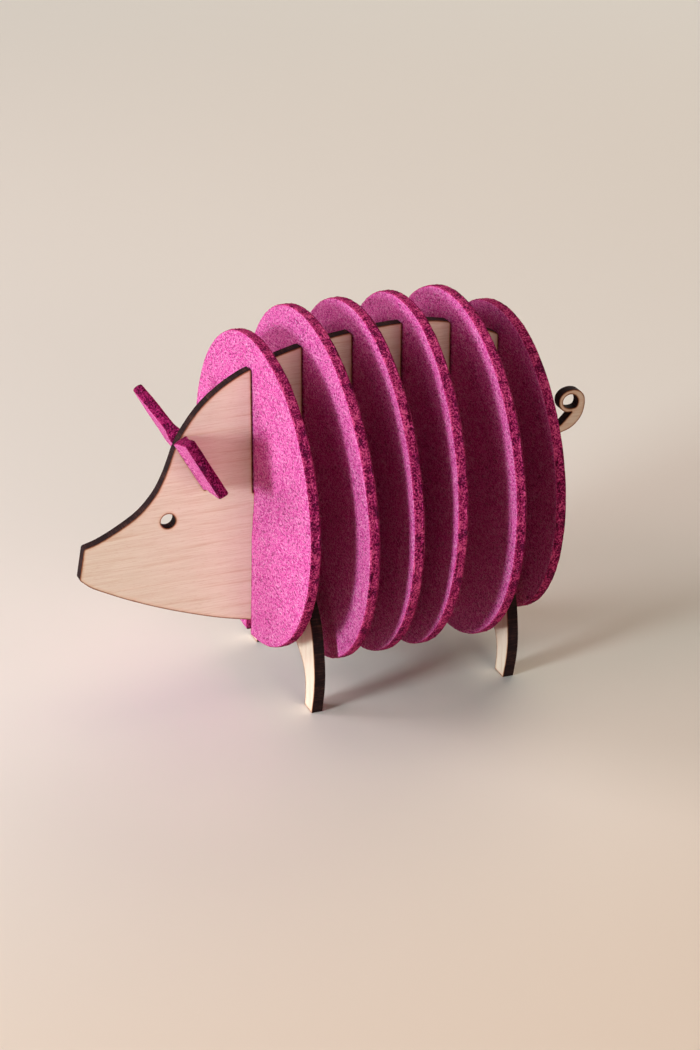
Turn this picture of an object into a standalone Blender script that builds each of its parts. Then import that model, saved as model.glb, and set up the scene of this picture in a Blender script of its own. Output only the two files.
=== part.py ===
# Slot-together pig that holds six round felt coasters.
# A plywood side profile stands on two crosswise leg plates. The felt ears pass through a slanting slot
# under the forehead, and each coaster drops into a slot in the back.
# Units are metres. +X runs from the snout to the tail, +Z is up, and the feet stand on z = 0.

import math

import bpy
import bmesh
import numpy as np

# Sheet stock and fits
plyThickness = 0.0032
feltThickness = 0.0030
coasterClearance = 0.0003      # each side of a coaster in its slot, and of the profile in a coaster's slit
legClearance = 0.0003          # each side of a half lap, and at its bottom
earClearance = 0.0003          # all round the ears in their slot

# Coasters and their slots
largeCoasterDiameter = 0.100
smallCoasterDiameter = 0.089
coasterCount = 6
slotPitch = 0.0147
slotMouthRadius = 0.0010
floorGap = 0.0090              # from the floor to the lowest rim of the large coasters

# Back and belly of the profile, as heights above and depths below the slot bottoms
neckHeight = 0.0366
backHeight = 0.0441
croupHeight = 0.0371
throatDepth = 0.0396
bellyDepth = 0.0438
groinDepth = 0.0394

# Head, measured from the first slot
headLength = 0.0487
snoutTop = -0.0093
snoutBottom = -0.0184
snoutSlant = 0.0016            # how far the lower corner of the snout stands ahead of the upper one
snoutRadius = 0.0008
eyeDiameter = 0.0043
eyeBack = 0.0246
eyeHeight = -0.0047

# Rump and tail
rumpLength = 0.0132            # behind the last slot
tailLength = 0.0114            # from the rump to the far side of the curl
tailRingHeight = 0.0129
tailRingRadius = 0.0038
tailRootHeight = 0.0044
tailRootWidth = 0.0030
tailRootRadius = 0.0012

# Ears
earLean = math.radians(29.0)   # the ears' plane from upright, top edge toward the snout
earRootWidth = 0.0173          # of the ears where they leave the profile
earProud = 0.0011              # how far the ears stand above the forehead where they leave the profile
earBridge = 0.0015             # wood left between the ears' slot and the forehead, along the slot
earSpan = 0.0444
earRise = 0.0088               # how far the tips stand above the root, along the ears' plane
earTipWidth = 0.0194
earCornerRadius = 0.0006
earSlotBack = 0.0216           # from the first slot to the snout side of the ears' slot, at the forehead

# Leg plates, with heights given as drops below the slot bottoms
legSetback = 0.0081            # from the middle of a slot to the middle of the plate behind it
legTopDrop = 0.0218
legHalfLapDrop = 0.0308
legArchDrop = 0.0384
hipWidth = 0.0558
footOuter = 0.0256
footInner = 0.0199
footCornerRadius = 0.0003

# Corners left by the cutting beam, inside the slots and at the mouths of the half laps
cutRadius = 0.0002
lapMouthRadius = 0.0005
shortestStep = 0.0004          # points of a curved edge stay this far from a slot

# Colours of the raw sheets, as linear red, green and blue
plyColour = (0.77, 0.58, 0.38)
feltColour = (0.60, 0.03, 0.27)

slotWidth = feltThickness + 2 * coasterClearance
slitWidth = plyThickness + 2 * coasterClearance
lapWidth = plyThickness + 2 * legClearance
trunkLength = (coasterCount - 1) * slotPitch
slotHeight = floorGap + largeCoasterDiameter / 2
noseX = -headLength - snoutSlant
rumpX = trunkLength + slotWidth + rumpLength
tailX = rumpX + tailLength
middleX = (noseX + tailX) / 2


def clearScene():
    for item in list(bpy.data.objects):
        bpy.data.objects.remove(item, do_unlink=True)


def newCollection(name):
    collection = bpy.data.collections.new(name)
    bpy.context.scene.collection.children.link(collection)
    return collection


def newMaterial(name, colour, roughness):
    material = bpy.data.materials.new(name)
    material.use_nodes = True
    shader = material.node_tree.nodes["Principled BSDF"]
    shader.inputs["Base Color"].default_value = (*colour, 1.0)
    shader.inputs["Roughness"].default_value = roughness
    shader.inputs["Metallic"].default_value = 0.0
    material.diffuse_color = (*colour, 1.0)
    return material


# A smooth line through the given points (Catmull-Rom), as an array of points.
def smoothLine(points, steps, closed=False):
    points = [np.array(point, dtype=float) for point in points]
    if closed:
        ring = [points[-1]] + points + points[:2]
    else:
        ring = [2 * points[0] - points[1]] + points + [2 * points[-1] - points[-2]]
    line = []
    for a, b, c, d in zip(ring, ring[1:], ring[2:], ring[3:]):
        for step in range(steps):
            t = step / steps
            line.append(0.5 * (2 * b + (c - a) * t + (2 * a - 5 * b + 4 * c - d) * t ** 2
                               + (3 * b - a - 3 * c + d) * t ** 3))
    if not closed:
        line.append(points[-1])
    return line


# The part of a line that runs in X from one place to another, with both ends on those places.
def between(line, start, end):
    xs = np.array([point[0] for point in line])
    zs = np.array([point[1] for point in line])
    order = np.argsort(xs)
    ends = [np.array([x, np.interp(x, xs[order], zs[order])]) for x in (start, end)]
    low, high = min(start, end), max(start, end)
    inside = [point for point in line if low + shortestStep < point[0] < high - shortestStep]
    inside.sort(key=lambda point: point[0], reverse=bool(start > end))
    return [ends[0]] + inside + [ends[1]]


# Rounds each corner (point, radius) with an arc. A radius is limited by the edges that meet there.
def roundCorners(corners, arcSteps=4):
    outline = []
    count = len(corners)
    for index, (point, radius) in enumerate(corners):
        point = np.array(point, dtype=float)
        if radius == 0:
            outline.append(point)
            continue
        before = np.array(corners[index - 1][0], dtype=float) - point
        after = np.array(corners[(index + 1) % count][0], dtype=float) - point
        reach = 0.48 * min(np.linalg.norm(before), np.linalg.norm(after))
        before = before / np.linalg.norm(before)
        after = after / np.linalg.norm(after)
        halfAngle = math.acos(max(-1.0, min(1.0, float(before @ after)))) / 2
        tangent = min(radius / math.tan(halfAngle), reach)
        used = tangent * math.tan(halfAngle)
        bisector = before + after
        centre = point + bisector / np.linalg.norm(bisector) * used / math.sin(halfAngle)
        first = point + before * tangent - centre
        last = point + after * tangent - centre
        turn = math.atan2(first[0] * last[1] - first[1] * last[0], float(first @ last))
        for step in range(arcSteps + 1):
            angle = turn * step / arcSteps
            cosine, sine = math.cos(angle), math.sin(angle)
            outline.append(centre + np.array([first[0] * cosine - first[1] * sine,
                                              first[0] * sine + first[1] * cosine]))
    return outline


def plain(points):
    return [(point, 0.0) for point in points]


def circle(centre, radius, steps, start=0.0, end=2 * math.pi, closed=True):
    count = steps if closed else steps + 1
    angles = [start + (end - start) * step / steps for step in range(count)]
    return [np.array([centre[0] + radius * math.cos(angle), centre[1] + radius * math.sin(angle)])
            for angle in angles]


# A flat sheet cut to the given outlines: the first is its edge, and any others are holes.
def cutSheet(name, outlines, thickness, material, collection):
    curve = bpy.data.curves.new(name + "_outline", "CURVE")
    curve.dimensions = "2D"
    curve.fill_mode = "BOTH"
    curve.extrude = thickness / 2
    for outline in outlines:
        spline = curve.splines.new("POLY")
        spline.points.add(len(outline) - 1)
        for target, point in zip(spline.points, outline):
            target.co = (point[0], point[1], 0.0, 1.0)
        spline.use_cyclic_u = True
    guide = bpy.data.objects.new(name + "_outline", curve)
    collection.objects.link(guide)
    bpy.context.view_layer.update()
    evaluated = guide.evaluated_get(bpy.context.evaluated_depsgraph_get())
    mesh = bpy.data.meshes.new_from_object(evaluated)
    bpy.data.objects.remove(guide, do_unlink=True)
    bpy.data.curves.remove(curve)

    body = bmesh.new()
    body.from_mesh(mesh)
    bmesh.ops.remove_doubles(body, verts=body.verts, dist=0.00001)
    bmesh.ops.recalc_face_normals(body, faces=body.faces)
    body.to_mesh(mesh)
    body.free()
    mesh.name = name
    mesh.materials.clear()
    mesh.materials.append(material)
    mesh.shade_smooth()
    mesh.set_sharp_from_angle(angle=math.radians(35))
    sheet = bpy.data.objects.new(name, mesh)
    collection.objects.link(sheet)
    return sheet


# Points between two corners of a curve, each given as a share of the way across and of the way up.
def spread(first, last, shares):
    return [(first[0] + (last[0] - first[0]) * across, first[1] + (last[1] - first[1]) * up)
            for across, up in shares]


# Forehead, back and rump in one line, from the top of the snout to the root of the tail.
def upperLine():
    neck = (0.0, neckHeight)
    withers = (0.55 * trunkLength, backHeight)
    croup = (trunkLength, croupHeight)
    forehead = spread((-headLength, snoutTop), neck, [
        (0.0, 0.0), (0.088, 0.028), (0.207, 0.089), (0.331, 0.172), (0.423, 0.277), (0.479, 0.381),
        (0.517, 0.479), (0.552, 0.575), (0.612, 0.682), (0.704, 0.802), (0.819, 0.902), (0.930, 0.970),
    ])
    back = spread(neck, withers, [(0.0, 0.0), (0.18, 0.36), (0.40, 0.65), (0.67, 0.87), (1.0, 1.0)])
    loin = spread(withers, croup, [(0.36, 0.05), (0.60, 0.28), (0.82, 0.64), (1.0, 1.0)])
    rump = spread(croup, (rumpX, tailRootHeight + tailRootWidth / 2), [
        (0.25, 0.09), (0.48, 0.20), (0.68, 0.35), (0.85, 0.555), (0.96, 0.77), (1.0, 1.0),
    ])
    return smoothLine(forehead + back + loin + rump, 4)


# Rump, belly and chin, from below the tail back to the snout.
def lowerLine():
    groin = (trunkLength, -groinDepth)
    belly = (0.50 * trunkLength, -bellyDepth)
    throat = (0.0, -throatDepth)
    rump = spread((rumpX, tailRootHeight - tailRootWidth / 2), groin, [
        (0.0, 0.0), (0.015, 0.19), (0.08, 0.40), (0.21, 0.61), (0.40, 0.80), (0.62, 0.912), (0.82, 0.968),
        (1.0, 1.0),
    ])
    under = spread(groin, belly, [(0.45, 0.72), (1.0, 1.0)])
    front = spread(belly, throat, [(0.42, 0.14), (0.76, 0.57), (1.0, 1.0)])
    chin = spread(throat, (noseX, snoutBottom), [
        (0.20, 0.118), (0.38, 0.26), (0.55, 0.415), (0.72, 0.594), (0.86, 0.764), (0.94, 0.873), (1.0, 1.0),
    ])
    return smoothLine(rump + under + front + chin, 4)


# The curl: the upper side of its root, then round the ring and back along its lower side to the rump,
# and the hole in the ring. The ring's points are given in radii from its middle.
def tailOutline():
    radius = tailRingRadius
    ringX = tailX - 1.09 * radius
    top = tailRootHeight + tailRootWidth / 2
    bottom = tailRootHeight - tailRootWidth / 2

    def onRing(across, up):
        return (ringX + across * radius, tailRingHeight + up * radius)

    rootSpan = ringX - rumpX
    inner = smoothLine([
        (rumpX, top),
        (rumpX + 0.28 * rootSpan, top - 0.04 * tailRootWidth),
        (rumpX + 0.52 * rootSpan, top + 0.10 * tailRootWidth),
        onRing(-0.45, -1.34),
        onRing(0.0, -0.86),
    ], 3)
    ring = smoothLine([
        onRing(0.0, -0.80), onRing(-0.50, -0.76), onRing(-0.90, -0.46), onRing(-1.08, 0.0),
        onRing(-1.00, 0.48), onRing(-0.62, 0.86), onRing(0.0, 1.0), onRing(0.62, 0.84),
        onRing(1.02, 0.36), onRing(1.08, -0.30), onRing(0.92, -1.04), onRing(0.52, -1.66),
        onRing(-0.10, -2.14),
        (rumpX + 0.56 * rootSpan, bottom + 0.32 * tailRootWidth),
        (rumpX + 0.28 * rootSpan, bottom + 0.08 * tailRootWidth),
        (rumpX, bottom),
    ], 3)
    hole = smoothLine([
        onRing(-0.76, 0.06), onRing(-0.58, 0.46), onRing(-0.16, 0.64), onRing(0.28, 0.48),
        onRing(0.52, 0.02), onRing(0.38, -0.44), onRing(-0.12, -0.52), onRing(-0.56, -0.34),
    ], 3, closed=True)
    return inner, ring, hole


# Where the leg plates stand, counted along X: behind the first slot and behind the last slot but one.
def legPlaces():
    middle = slotWidth / 2 + legSetback
    return [middle, middle + (coasterCount - 2) * slotPitch]


# The line that the ears' slot follows: where it starts on the forehead, its direction down the profile, and
# the direction square to it.
def earLine():
    down = np.array([math.sin(earLean), -math.cos(earLean)])
    across = np.array([math.cos(earLean), math.sin(earLean)])
    start = between(upperLine(), -earSlotBack, 0.0)[0]
    return start, down, across


def profileOutlines():
    upper = upperLine()
    lower = lowerLine()
    tailInner, tailRing, tailHole = tailOutline()
    corners = [((noseX, snoutBottom), snoutRadius), ((-headLength, snoutTop), snoutRadius)]

    here = -headLength
    for index in range(coasterCount):
        wall = index * slotPitch
        stretch = between(upper, here, wall)
        here = wall + slotWidth
        corners += plain(stretch[1:-1]) + [(stretch[-1], slotMouthRadius)]
        corners += [((wall, 0.0), cutRadius), ((here, 0.0), cutRadius)]
        corners.append((between(upper, here, rumpX)[0], slotMouthRadius))
    corners += plain(between(upper, here, rumpX)[1:-1])

    corners += [(tailInner[0], tailRootRadius)] + plain(tailInner[1:]) + plain(tailRing[:-1])
    corners += [(tailRing[-1], tailRootRadius)]

    here = rumpX
    lapTop = -legHalfLapDrop + legClearance / 2
    for middle in reversed(legPlaces()):
        stretch = between(lower, here, middle + lapWidth / 2)
        here = middle - lapWidth / 2
        corners += plain(stretch[1:-1]) + [(stretch[-1], lapMouthRadius)]
        corners += [((middle + lapWidth / 2, lapTop), cutRadius), ((here, lapTop), cutRadius)]
        corners.append((between(lower, here, noseX)[0], lapMouthRadius))
    corners += plain(between(lower, here, noseX)[1:-1])
    eye = circle((-eyeBack, eyeHeight), eyeDiameter / 2, 28)

    start, down, across = earLine()
    sides = (start - across * earClearance, start + across * (feltThickness + earClearance))
    ends = (down * earBridge, down * (earRootWidth - earProud + earClearance))
    slot = [sides[0] + ends[0], sides[1] + ends[0], sides[1] + ends[1], sides[0] + ends[1]]
    earSlot = roundCorners([(corner, cutRadius) for corner in slot])
    return [roundCorners(corners), eye, earSlot, tailHole]


# A leg plate from the front. One half runs from the bottom of its half lap over the hip, down to the foot
# and up to the middle of the arch, and the other half mirrors it.
def legOutline():
    hip = hipWidth / 2
    lapHalf = lapWidth / 2
    top = slotHeight - legTopDrop
    arch = slotHeight - legArchDrop
    lapBottom = slotHeight - legHalfLapDrop - legClearance / 2
    outer = smoothLine([
        (0.30 * hip, top), (0.56 * hip, 0.96 * top), (0.78 * hip, 0.86 * top), (0.93 * hip, 0.68 * top),
        (hip, 0.40 * top), (0.985 * hip, 0.20 * top), (footOuter, 0.0),
    ], 4)
    inner = smoothLine([
        (footInner, 0.0), (1.04 * footInner, 0.30 * arch), (0.99 * footInner, 0.54 * arch),
        (0.84 * footInner, 0.70 * arch), (0.62 * footInner, 0.84 * arch), (0.36 * footInner, 0.955 * arch),
        (0.14 * footInner, 0.995 * arch), (0.0, arch),
    ], 4)
    half = [((lapHalf, lapBottom), cutRadius), ((lapHalf, top), lapMouthRadius)]
    half += plain(outer[:-1]) + [(outer[-1], footCornerRadius), (inner[0], footCornerRadius)]
    half += plain(inner[1:-1])
    otherHalf = [((-point[0], point[1]), radius) for point, radius in reversed(half)]
    return [roundCorners(half + [(inner[-1], 0.0)] + otherHalf)]


# A round coaster with a slit from its lower edge to its middle.
def coasterOutline(diameter):
    radius = diameter / 2
    half = slitWidth / 2
    corner = math.asin(half / radius)
    rim = circle((0.0, 0.0), radius, 64, -math.pi / 2 + corner, 1.5 * math.pi - corner, closed=False)
    slitEnd = [((-half, coasterClearance), cutRadius), ((half, coasterClearance), cutRadius)]
    return [roundCorners(plain(rim) + slitEnd)]


# Both ears as one strip. Up is positive, and the top of the ears beside the profile is at the origin. Inside
# the profile the strip is narrower, to pass under the wood above its slot.
def earOutline():
    half = earSpan / 2
    root = plyThickness / 2 + earClearance
    neck = earProud + earBridge + earClearance
    right = [
        ((root, -earRootWidth), 0.0),
        ((half, earRise - earTipWidth), earCornerRadius),
        ((half, earRise), earCornerRadius),
        ((root, 0.0), 0.0),
        ((root, -neck), 0.0),
    ]
    left = [((-point[0], point[1]), radius) for point, radius in reversed(right)]
    return [roundCorners(right + left)]


def build():
    clearScene()
    parts = newCollection("pig_coaster_holder")
    upright = (math.pi / 2, 0.0, 0.0)
    crosswise = (math.pi / 2, 0.0, math.pi / 2)

    plywood = newMaterial("profile_plywood", plyColour, 0.6)
    profile = cutSheet("body_profile", profileOutlines(), plyThickness, plywood, parts)
    profile.rotation_euler = upright
    profile.location = (-middleX, 0.0, slotHeight)

    for name, place in zip(("front_legs", "rear_legs"), legPlaces()):
        plywood = newMaterial(name + "_plywood", plyColour, 0.6)
        plate = cutSheet(name, legOutline(), plyThickness, plywood, parts)
        plate.rotation_euler = crosswise
        plate.location = (place - middleX, 0.0, 0.0)

    start, down, across = earLine()
    root = start - down * earProud + across * feltThickness / 2
    felt = newMaterial("ears_felt", feltColour, 0.95)
    ears = cutSheet("ears", earOutline(), feltThickness, felt, parts)
    ears.rotation_euler = (math.pi / 2 - earLean, 0.0, math.pi / 2)
    ears.location = (root[0] - middleX, 0.0, root[1] + slotHeight)

    for index in range(coasterCount):
        name = "coaster_" + str(index + 1)
        atEnd = index in (0, coasterCount - 1)
        diameter = smallCoasterDiameter if atEnd else largeCoasterDiameter
        felt = newMaterial(name + "_felt", feltColour, 0.95)
        coaster = cutSheet(name, coasterOutline(diameter), feltThickness, felt, parts)
        coaster.rotation_euler = crosswise
        coaster.location = (index * slotPitch + slotWidth / 2 - middleX, 0.0, slotHeight)
    bpy.context.view_layer.update()


build()
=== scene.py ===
# Dresses a slot-together pig that holds six felt coasters: three laser-cut plywood panels, a strip of felt
# for the ears, and the coasters, on a plain pale floor.
import math
from functools import partial

import bmesh
import bpy
import numpy as np
from mathutils import Matrix, Vector
from mathutils.geometry import delaunay_2d_cdt
from mathutils.kdtree import KDTree


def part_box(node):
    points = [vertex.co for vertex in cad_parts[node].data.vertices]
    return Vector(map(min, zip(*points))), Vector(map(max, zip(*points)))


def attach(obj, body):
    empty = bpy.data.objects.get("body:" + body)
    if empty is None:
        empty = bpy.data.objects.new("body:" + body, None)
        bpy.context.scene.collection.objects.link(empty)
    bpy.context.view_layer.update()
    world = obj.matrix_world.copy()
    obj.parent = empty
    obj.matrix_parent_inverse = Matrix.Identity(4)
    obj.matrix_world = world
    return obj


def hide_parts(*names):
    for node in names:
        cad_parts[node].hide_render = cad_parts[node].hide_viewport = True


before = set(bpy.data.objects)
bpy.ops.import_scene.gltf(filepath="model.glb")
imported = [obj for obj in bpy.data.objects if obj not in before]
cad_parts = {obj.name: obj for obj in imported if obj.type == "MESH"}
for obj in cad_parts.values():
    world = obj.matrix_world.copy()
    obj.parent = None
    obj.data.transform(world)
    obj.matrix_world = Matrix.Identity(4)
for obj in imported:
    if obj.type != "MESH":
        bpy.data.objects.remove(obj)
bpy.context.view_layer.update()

mm = 0.001
weldReach = 0.002 * mm  # corners of a CAD mesh closer than this are one corner
print("frame loaded:", len(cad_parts), "nodes")


# sRGB hex to a linear colour with alpha.
def hexColour(text):
    parts = [int(text[i:i + 2], 16) / 255 for i in (1, 3, 5)]
    return tuple([c / 12.92 if c <= 0.04045 else ((c + 0.055) / 1.055) ** 2.4 for c in parts] + [1.0])


# Adds a node. A kind without its family, such as Math, is a ShaderNode. A key is one of the node's own
# settings, or else an input's name or number. A socket is linked to its input, a node is linked by its
# first live output, and a hex text is a colour. The stops of a colour ramp are pairs of a place and a
# colour or a grey.
def addNode(tree, kind, settings):
    made = tree.nodes.new(kind if "Node" in kind else "ShaderNode" + kind)
    own = [key for key in settings if hasattr(made, str(key))]
    for key in own:
        setattr(made, key, settings[key])
    for key, value in settings.items():
        if isinstance(value, bpy.types.Node):
            value = next(socket for socket in value.outputs if socket.enabled)
        if key == "stops":
            elements = made.color_ramp.elements
            while len(elements) < len(value):
                elements.new(0.5)
            for element, (place, colour) in zip(elements, value):
                isHex = isinstance(colour, str)
                element.position = place
                element.color = hexColour(colour) if isHex else (colour, colour, colour, 1.0)
        elif isinstance(value, bpy.types.NodeSocket):
            tree.links.new(value, made.inputs[key])
        elif key not in own:
            isHex = isinstance(value, str) and value.startswith("#")
            made.inputs[key].default_value = hexColour(value) if isHex else value
    return made


# A material, and addNode for its empty tree.
def newMaterial(name):
    material = bpy.data.materials.new(name)
    material.use_nodes = True
    material.node_tree.nodes.clear()
    return material, partial(addNode, material.node_tree)


# One for the rays that carry the background into the picture: from the camera, off gloss, or through glass.
def seenRays(add):
    rays = add("LightPath", {}).outputs
    other = add("Math", {"operation": "MAXIMUM", 0: rays["Is Glossy Ray"], 1: rays["Is Transmission Ray"]})
    return add("Math", {"operation": "MAXIMUM", 0: rays["Is Camera Ray"], 1: other})


def newPiece(name, mesh):
    piece = bpy.data.objects.new(name, mesh)
    bpy.context.scene.collection.objects.link(piece)
    return piece


# Colours, patterns and burn of the plywood, in millimetres. A pattern is its size along the grain, across it
# and through the sheet, then its detail, roughness and distortion. Birch pores are under 0.1 mm wide, too
# fine to show, so the hair and fleck are drawn about twice as coarse.
plywoodLook = {
    "face": "#F0E3D2", "faceShade": "#E6D5C2", "figure": "#CC9D74", "fleck": "#C49872",
    "haze": "#DDB48E", "scorch": "#8A4B22",
    "charDark": "#0A0607", "charMid": "#241517", "charPale": "#54372F",
    "patterns": {
        "grain": ((14.0, 0.42, 4.0), 4.0, 0.65, 0.0),
        "clouds": ((60.0, 14.0, 8.0), 2.0, 0.55, 0.0),
        "wander": ((60.0, 20.0, 30.0), 2.0, 0.4, 0.2),
        "breaks": ((18.0, 2.6, 6.0), 2.0, 0.55, 0.0),
        "hair": ((7.0, 0.17, 1.0), 2.0, 0.6, 0.0),
        "fleck": ((1.7, 0.15, 1.0), 1.0, 0.55, 0.0),
        "burn": ((2.0, 2.0, 2.0), 2.0, 0.55, 0.0),
        "ridges": ((0.33, 0.33, 5.0), 3.0, 0.6, 0.0),
        "patches": ((3.5, 3.5, 2.0), 2.0, 0.55, 0.0),
    },
    "cloudAmount": 0.35, "figurePitch": 3.4, "figureWander": 1.5, "figureAmount": 0.50,
    "hairAmount": 0.34, "fleckAmount": 0.35,
    "hazeStart": 0.0, "hazeWidth": 1.1, "hazeAmount": 0.55,
    "scorchStart": -0.02, "scorchWidth": 0.40, "scorchAmount": 1.0, "burnWander": 0.24,
    "ridgeShare": 0.65, "patchShare": 0.35, "plyHalf": 0.53, "glueAmount": 0.7,
    "relief": 0.06, "bump": 0.35, "ior": 1.45,
    "faceRough": 0.62, "charRough": 0.85, "faceGloss": 0.50, "charGloss": 0.12,
}


# Birch plywood, fine sanded and left bare, cut by laser. The veneer shows hair-thin straight grain with a
# few wandering growth lines. The cut edge is burnt to charcoal with its plies just showing, and the face
# beside it carries a narrow amber scorch.
def birchPlywood(name, turn, centre, look):
    material, add = newMaterial(name)
    where = add("TexCoord", {}).outputs["Object"]
    # x runs along the grain, y across it and z through the sheet, in millimetres
    placed = add("Mapping", {"vector_type": "POINT", "Vector": where, "Location": centre, "Rotation": turn,
                             "Scale": (1000, 1000, 1000)})
    across, through = add("SeparateXYZ", {0: placed}).outputs[1:]
    noise = {}
    for part, (size, detail, rough, distort) in look["patterns"].items():
        scaled = add("VectorMath", {"operation": "MULTIPLY", 0: placed, 1: [1 / length for length in size]})
        noise[part] = add("TexNoise", {"Vector": scaled, "Scale": 1.0, "Detail": detail, "Roughness": rough,
                                       "Distortion": distort})

    grain = add("ValToRGB", {0: noise["grain"], "stops": [(0.34, 0.0), (0.62, 1.0)]})
    face = add("Mix", {"data_type": "RGBA", 0: grain, 6: look["faceShade"], 7: look["face"]})
    clouds = add("Math", {"operation": "MULTIPLY", 0: noise["clouds"], 1: look["cloudAmount"]})
    face = add("Mix", {"data_type": "RGBA", 0: clouds, 6: face, 7: look["faceShade"]})

    # growth lines: bands across the grain that wander slowly along it and break off here and there
    wander = add("Math", {"operation": "MULTIPLY", 0: noise["wander"], 1: look["figureWander"]})
    counted = add("Math", {"operation": "DIVIDE", 0: across, 1: look["figurePitch"]})
    counted = add("Math", {"operation": "ADD", 0: wander, 1: counted})
    band = add("Math", {"operation": "FRACT", 0: counted})
    line = add("ValToRGB", {0: band, "stops": [(0.0, 0.0), (0.08, 0.8), (0.20, 0.35), (0.50, 0.0)]})
    unbroken = add("ValToRGB", {0: noise["breaks"], "stops": [(0.40, 0.0), (0.66, 1.0)]})
    line = add("Math", {"operation": "MULTIPLY", 0: line, 1: unbroken})
    line = add("Math", {"operation": "MULTIPLY", 0: line, 1: look["figureAmount"]})
    face = add("Mix", {"data_type": "RGBA", 0: line, 6: face, 7: look["figure"]})
    for part, start, end in (("hair", 0.52, 0.70), ("fleck", 0.64, 0.74)):
        marks = add("ValToRGB", {0: noise[part], "stops": [(start, 0.0), (end, 1.0)]})
        marks = add("Math", {"operation": "MULTIPLY", 0: marks, 1: look[part + "Amount"]})
        face = add("Mix", {"data_type": "RGBA", 0: marks, 6: face, 7: look["fleck"]})

    # the burn beside the cut, from the distance to the outline in millimetres
    burn = add("Attribute", {"attribute_name": "burnDistance"}).outputs["Fac"]
    uneven = add("Math", {"operation": "MULTIPLY", 0: noise["burn"], 1: -look["burnWander"]})
    burn = add("Math", {"operation": "ADD", 0: burn, 1: uneven})
    for part in ("haze", "scorch"):
        band = add("MapRange", {"interpolation_type": "SMOOTHSTEP", 0: burn, 1: look[part + "Start"],
                                2: look[part + "Width"], 3: look[part + "Amount"], 4: 0.0})
        face = add("Mix", {"data_type": "RGBA", 0: band, 6: face, 7: look[part]})

    # the cut edge: fine ridges across the sheet, and darker glue lines between the plies
    ridges = add("Math", {"operation": "MULTIPLY", 0: noise["ridges"], 1: look["ridgeShare"]})
    patches = add("Math", {"operation": "MULTIPLY", 0: noise["patches"], 1: look["patchShare"]})
    char = add("Math", {"operation": "ADD", 0: ridges, 1: patches})
    char = add("ValToRGB", {0: char, "stops": [(0.32, look["charDark"]), (0.52, look["charMid"]),
                                               (0.72, look["charPale"])]})
    glue = add("Math", {"operation": "PINGPONG", 0: through, 1: look["plyHalf"]})
    glue = add("ValToRGB", {0: glue, "stops": [(0.0, 0.75), (0.10, 0.0), (0.44, 0.0), (0.53, 0.35)]})
    glue = add("Math", {"operation": "MULTIPLY", 0: glue, 1: look["glueAmount"]})
    char = add("Mix", {"data_type": "RGBA", 0: glue, 6: char, 7: look["charDark"]})

    cut = add("Attribute", {"attribute_name": "cutEdge"}).outputs["Fac"]
    height = add("Mix", {"data_type": "RGBA", 0: cut, 6: noise["grain"], 7: noise["ridges"]})
    shader = add("BsdfPrincipled", {
        "Base Color": add("Mix", {"data_type": "RGBA", 0: cut, 6: face, 7: char}),
        "Roughness": add("MapRange", {0: cut, 3: look["faceRough"], 4: look["charRough"]}),
        "Specular IOR Level": add("MapRange", {0: cut, 3: look["faceGloss"], 4: look["charGloss"]}),
        "IOR": look["ior"],
        "Normal": add("Bump", {"Strength": look["bump"], "Distance": look["relief"] * mm, "Height": height}),
    })
    add("OutputMaterial", {0: shader})
    return material


# Closed outlines of a flat CAD sheet, as points along two directions in its plane, each with the material
# on its left, and how far the sheet's middle lies along its normal.
def sheetOutlines(node, along, across):
    normal = along.cross(across)
    work = bmesh.new()
    work.from_mesh(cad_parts[node].data)
    bmesh.ops.remove_doubles(work, verts=work.verts, dist=weldReach)
    work.normal_update()
    almostSquare = 0.99  # a face whose normal is this close to the sheet's is on its front
    isFront = {face: face.normal.dot(normal) > almostSquare for face in work.faces}
    onward = {}
    for face in work.faces:
        if not isFront[face]:
            continue
        for loop in face.loops:
            if not all(isFront[other] for other in loop.edge.link_faces):
                onward[loop.vert] = loop.link_loop_next.vert
    outlines = []
    while onward:
        chain = []
        here = next(iter(onward))
        while here in onward:
            chain.append((here.co.dot(along), here.co.dot(across)))
            here = onward.pop(here)
        outlines.append(np.array(chain))
    middle = np.mean([v.co.dot(normal) for v in work.verts])
    work.free()
    return outlines, float(middle)


def resampled(outline, step):
    points = []
    for first, second in zip(outline, np.roll(outline, -1, axis=0)):
        count = max(1, int(math.ceil(np.hypot(*(second - first)) / step)))
        points += [first + (second - first) * i / count for i in range(count)]
    return np.array(points)


# Moves a closed outline into its material by a distance, with mitred corners.
def inset(outline, distance):
    ahead = np.roll(outline, -1, axis=0) - outline
    ahead /= np.linalg.norm(ahead, axis=1)[:, None]
    behind = np.roll(ahead, 1, axis=0)
    left = np.stack([-ahead[:, 1], ahead[:, 0]], axis=1)
    leftBehind = np.stack([-behind[:, 1], behind[:, 0]], axis=1)
    sharpest = 0.35  # keeps the mitre of a sharp corner short
    mitre = (left + leftBehind) / np.maximum(1 + (left * leftBehind).sum(axis=1), sharpest)[:, None]
    return outline + mitre * distance


# Which points lie in the material, by how many times a line from each crosses the outlines.
def isInside(points, outlines):
    odd = np.zeros(len(points), bool)
    for outline in outlines:
        for first, second in zip(outline, np.roll(outline, -1, axis=0)):
            between = (first[1] > points[:, 1]) != (second[1] > points[:, 1])
            if between.any():
                at = first[0] + (points[:, 1] - first[1]) * (second[0] - first[0]) / (second[1] - first[1])
                odd ^= between & (points[:, 0] < at)
    return odd


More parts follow.
